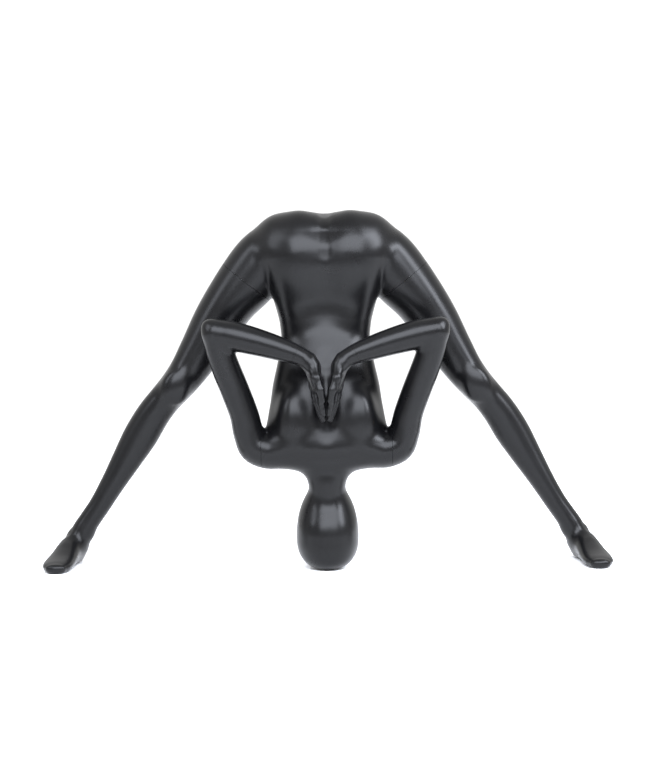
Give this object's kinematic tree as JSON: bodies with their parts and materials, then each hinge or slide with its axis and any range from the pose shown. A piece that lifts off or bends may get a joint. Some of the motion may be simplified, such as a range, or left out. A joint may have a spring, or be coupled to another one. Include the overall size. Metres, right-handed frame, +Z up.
{
  "type": "full body mannequin",
  "caption": "Full body female display mannequin in a wide legged forward bend with its hands pressed together behind its back, resting on both soles and its crown.",
  "frame": {"origin": "on the floor, under the middle of the figure's bounding box", "axes": "+X towards the mannequin's own left, from one foot to the other; the toes and the back face -Y; +Z up"},
  "size_m": [1.391, 0.3651, 0.873],
  "materials": {
    "paint": "satin black sprayed paint on fibreglass",
    "plywood": "birch plywood",
    "steel": "turned steel",
    "zinc": "bright zinc plate",
    "magnet": "nickel plate"
  },
  "bodies": {
    "torso": {"torso_shell": "paint", "right_shoulder_board": "plywood", "right_shoulder_housing": "steel", "right_housing_screws": "zinc", "right_hip_board": "plywood", "right_hip_post": "steel", "right_hip_screws": "zinc", "left_shoulder_board": "plywood", "left_shoulder_housing": "steel", "left_housing_screws": "zinc", "left_hip_board": "plywood", "left_hip_post": "steel", "left_hip_screws": "zinc"},
    "right_swivel": {"right_swivel_core": "zinc", "right_swivel_magnets": "magnet", "right_swivel_washer": "zinc", "right_swivel_nut": "zinc"},
    "right_arm": {"right_arm_shell": "paint", "right_arm_board": "plywood", "right_arm_post": "steel", "right_arm_screws": "zinc", "right_wrist_plug": "plywood", "right_wrist_magnet": "magnet", "right_hand_peg": "zinc", "right_hand": "paint"},
    "right_leg": {"right_leg_shell": "paint", "right_leg_board": "plywood", "right_leg_socket": "steel", "right_leg_screws": "zinc"},
    "left_swivel": {"left_swivel_core": "zinc", "left_swivel_magnets": "magnet", "left_swivel_washer": "zinc", "left_swivel_nut": "zinc"},
    "left_arm": {"left_arm_shell": "paint", "left_arm_board": "plywood", "left_arm_post": "steel", "left_arm_screws": "zinc", "left_wrist_plug": "plywood", "left_wrist_magnet": "magnet", "left_hand_peg": "zinc", "left_hand": "paint"},
    "left_leg": {"left_leg_shell": "paint", "left_leg_board": "plywood", "left_leg_socket": "steel", "left_leg_screws": "zinc"}
  },
  "joints": [
    {"name": "right_shoulder_swivel", "type": "hinge", "parent": "torso", "child": "right_swivel", "pos_m": [-0.16, -0.042, 0.291], "axis": [1, 0, 0], "range_deg": [0, 90]},
    {"name": "right_arm_pull", "type": "slide", "parent": "right_swivel", "child": "right_arm", "axis": [-1, 0, 0], "range_m": [0, 0.06]},
    {"name": "right_leg_pull", "type": "slide", "parent": "torso", "child": "right_leg", "axis": [-0.6225, 0, -0.7826], "range_m": [0, 0.08]},
    {"name": "left_shoulder_swivel", "type": "hinge", "parent": "torso", "child": "left_swivel", "pos_m": [0.16, -0.042, 0.291], "axis": [1, 0, 0], "range_deg": [0, 90]},
    {"name": "left_arm_pull", "type": "slide", "parent": "left_swivel", "child": "left_arm", "axis": [1, 0, 0], "range_m": [0, 0.06]},
    {"name": "left_leg_pull", "type": "slide", "parent": "torso", "child": "left_leg", "axis": [0.6225, 0, -0.7826], "range_m": [0, 0.08]}
  ]
}
